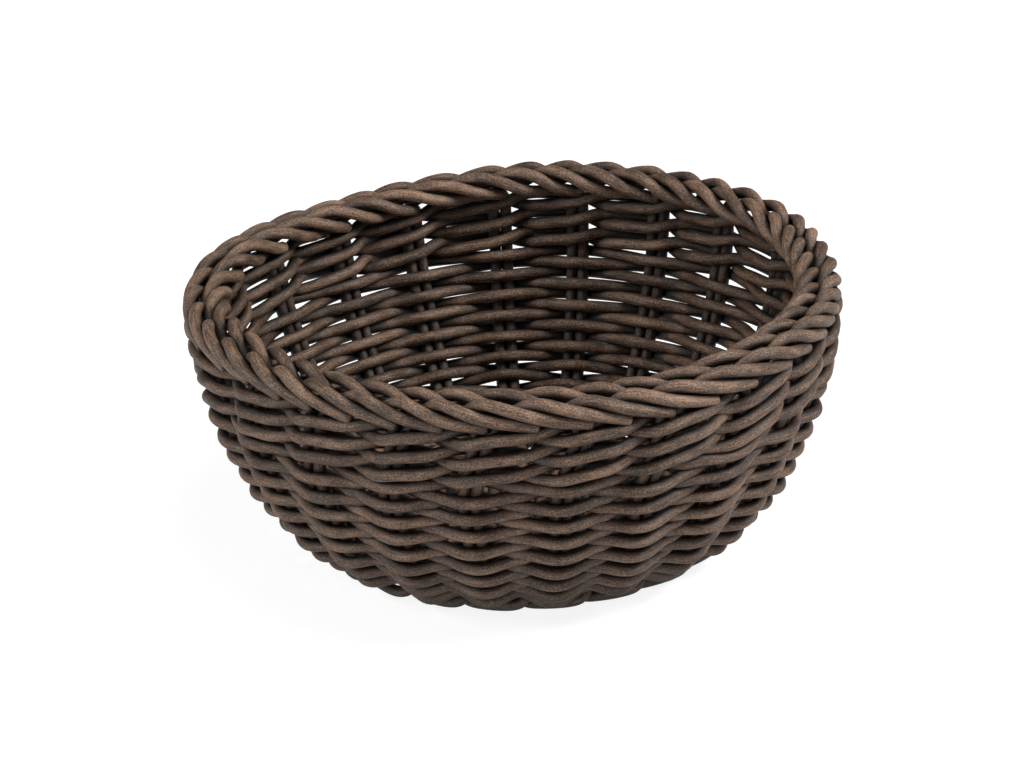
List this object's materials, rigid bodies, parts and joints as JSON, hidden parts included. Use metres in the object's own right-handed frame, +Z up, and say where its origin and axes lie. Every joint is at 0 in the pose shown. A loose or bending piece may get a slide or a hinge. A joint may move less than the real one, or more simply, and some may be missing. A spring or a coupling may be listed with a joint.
{
  "type": "woven fruit basket",
  "caption": "Round bowl-shaped basket woven from dark brown round strands, with a thick plaited border, for holding fruit or bread.",
  "frame": {"origin": "centre of the foot, on the plane the basket stands on", "axes": "+Z up through the open top; a pair of stakes stands on +X; the camera side is -Y"},
  "size_m": [0.2292, 0.2292, 0.0954],
  "materials": {
    "stake_strand": "satin, finely streaked along the strand",
    "weaver_strand": "satin, finely streaked along the strand",
    "base_strand": "satin, finely streaked along the strand"
  },
  "bodies": {
    "root": {"base_binding": "base_strand", "base_row_1": "base_strand", "base_row_2": "base_strand", "foot_row_strand_a": "weaver_strand", "foot_row_strand_b": "weaver_strand", "stake_pair_01": "stake_strand", "stake_pair_02": "stake_strand", "stake_pair_03": "stake_strand", "stake_pair_04": "stake_strand", "stake_pair_05": "stake_strand", "stake_pair_06": "stake_strand", "stake_pair_07": "stake_strand", "stake_pair_08": "stake_strand", "stake_pair_09": "stake_strand", "stake_pair_10": "stake_strand", "stake_pair_11": "stake_strand", "twined_row_1_strand_a": "weaver_strand", "twined_row_1_strand_b": "weaver_strand", "twined_row_2_strand_a": "weaver_strand", "twined_row_2_strand_b": "weaver_strand", "twined_row_3_strand_a": "weaver_strand", "twined_row_3_strand_b": "weaver_strand", "woven_row_01": "weaver_strand", "woven_row_02": "weaver_strand", "woven_row_03": "weaver_strand", "woven_row_04": "weaver_strand", "woven_row_05": "weaver_strand", "woven_row_06": "weaver_strand", "woven_row_07": "weaver_strand", "woven_row_08": "weaver_strand", "woven_row_09": "weaver_strand", "woven_row_10": "weaver_strand", "woven_row_11": "weaver_strand", "woven_row_12": "weaver_strand", "woven_row_13": "weaver_strand", "woven_row_14": "weaver_strand", "woven_row_15": "weaver_strand", "woven_row_16": "weaver_strand", "woven_row_17": "weaver_strand"}
  },
  "joints": []
}
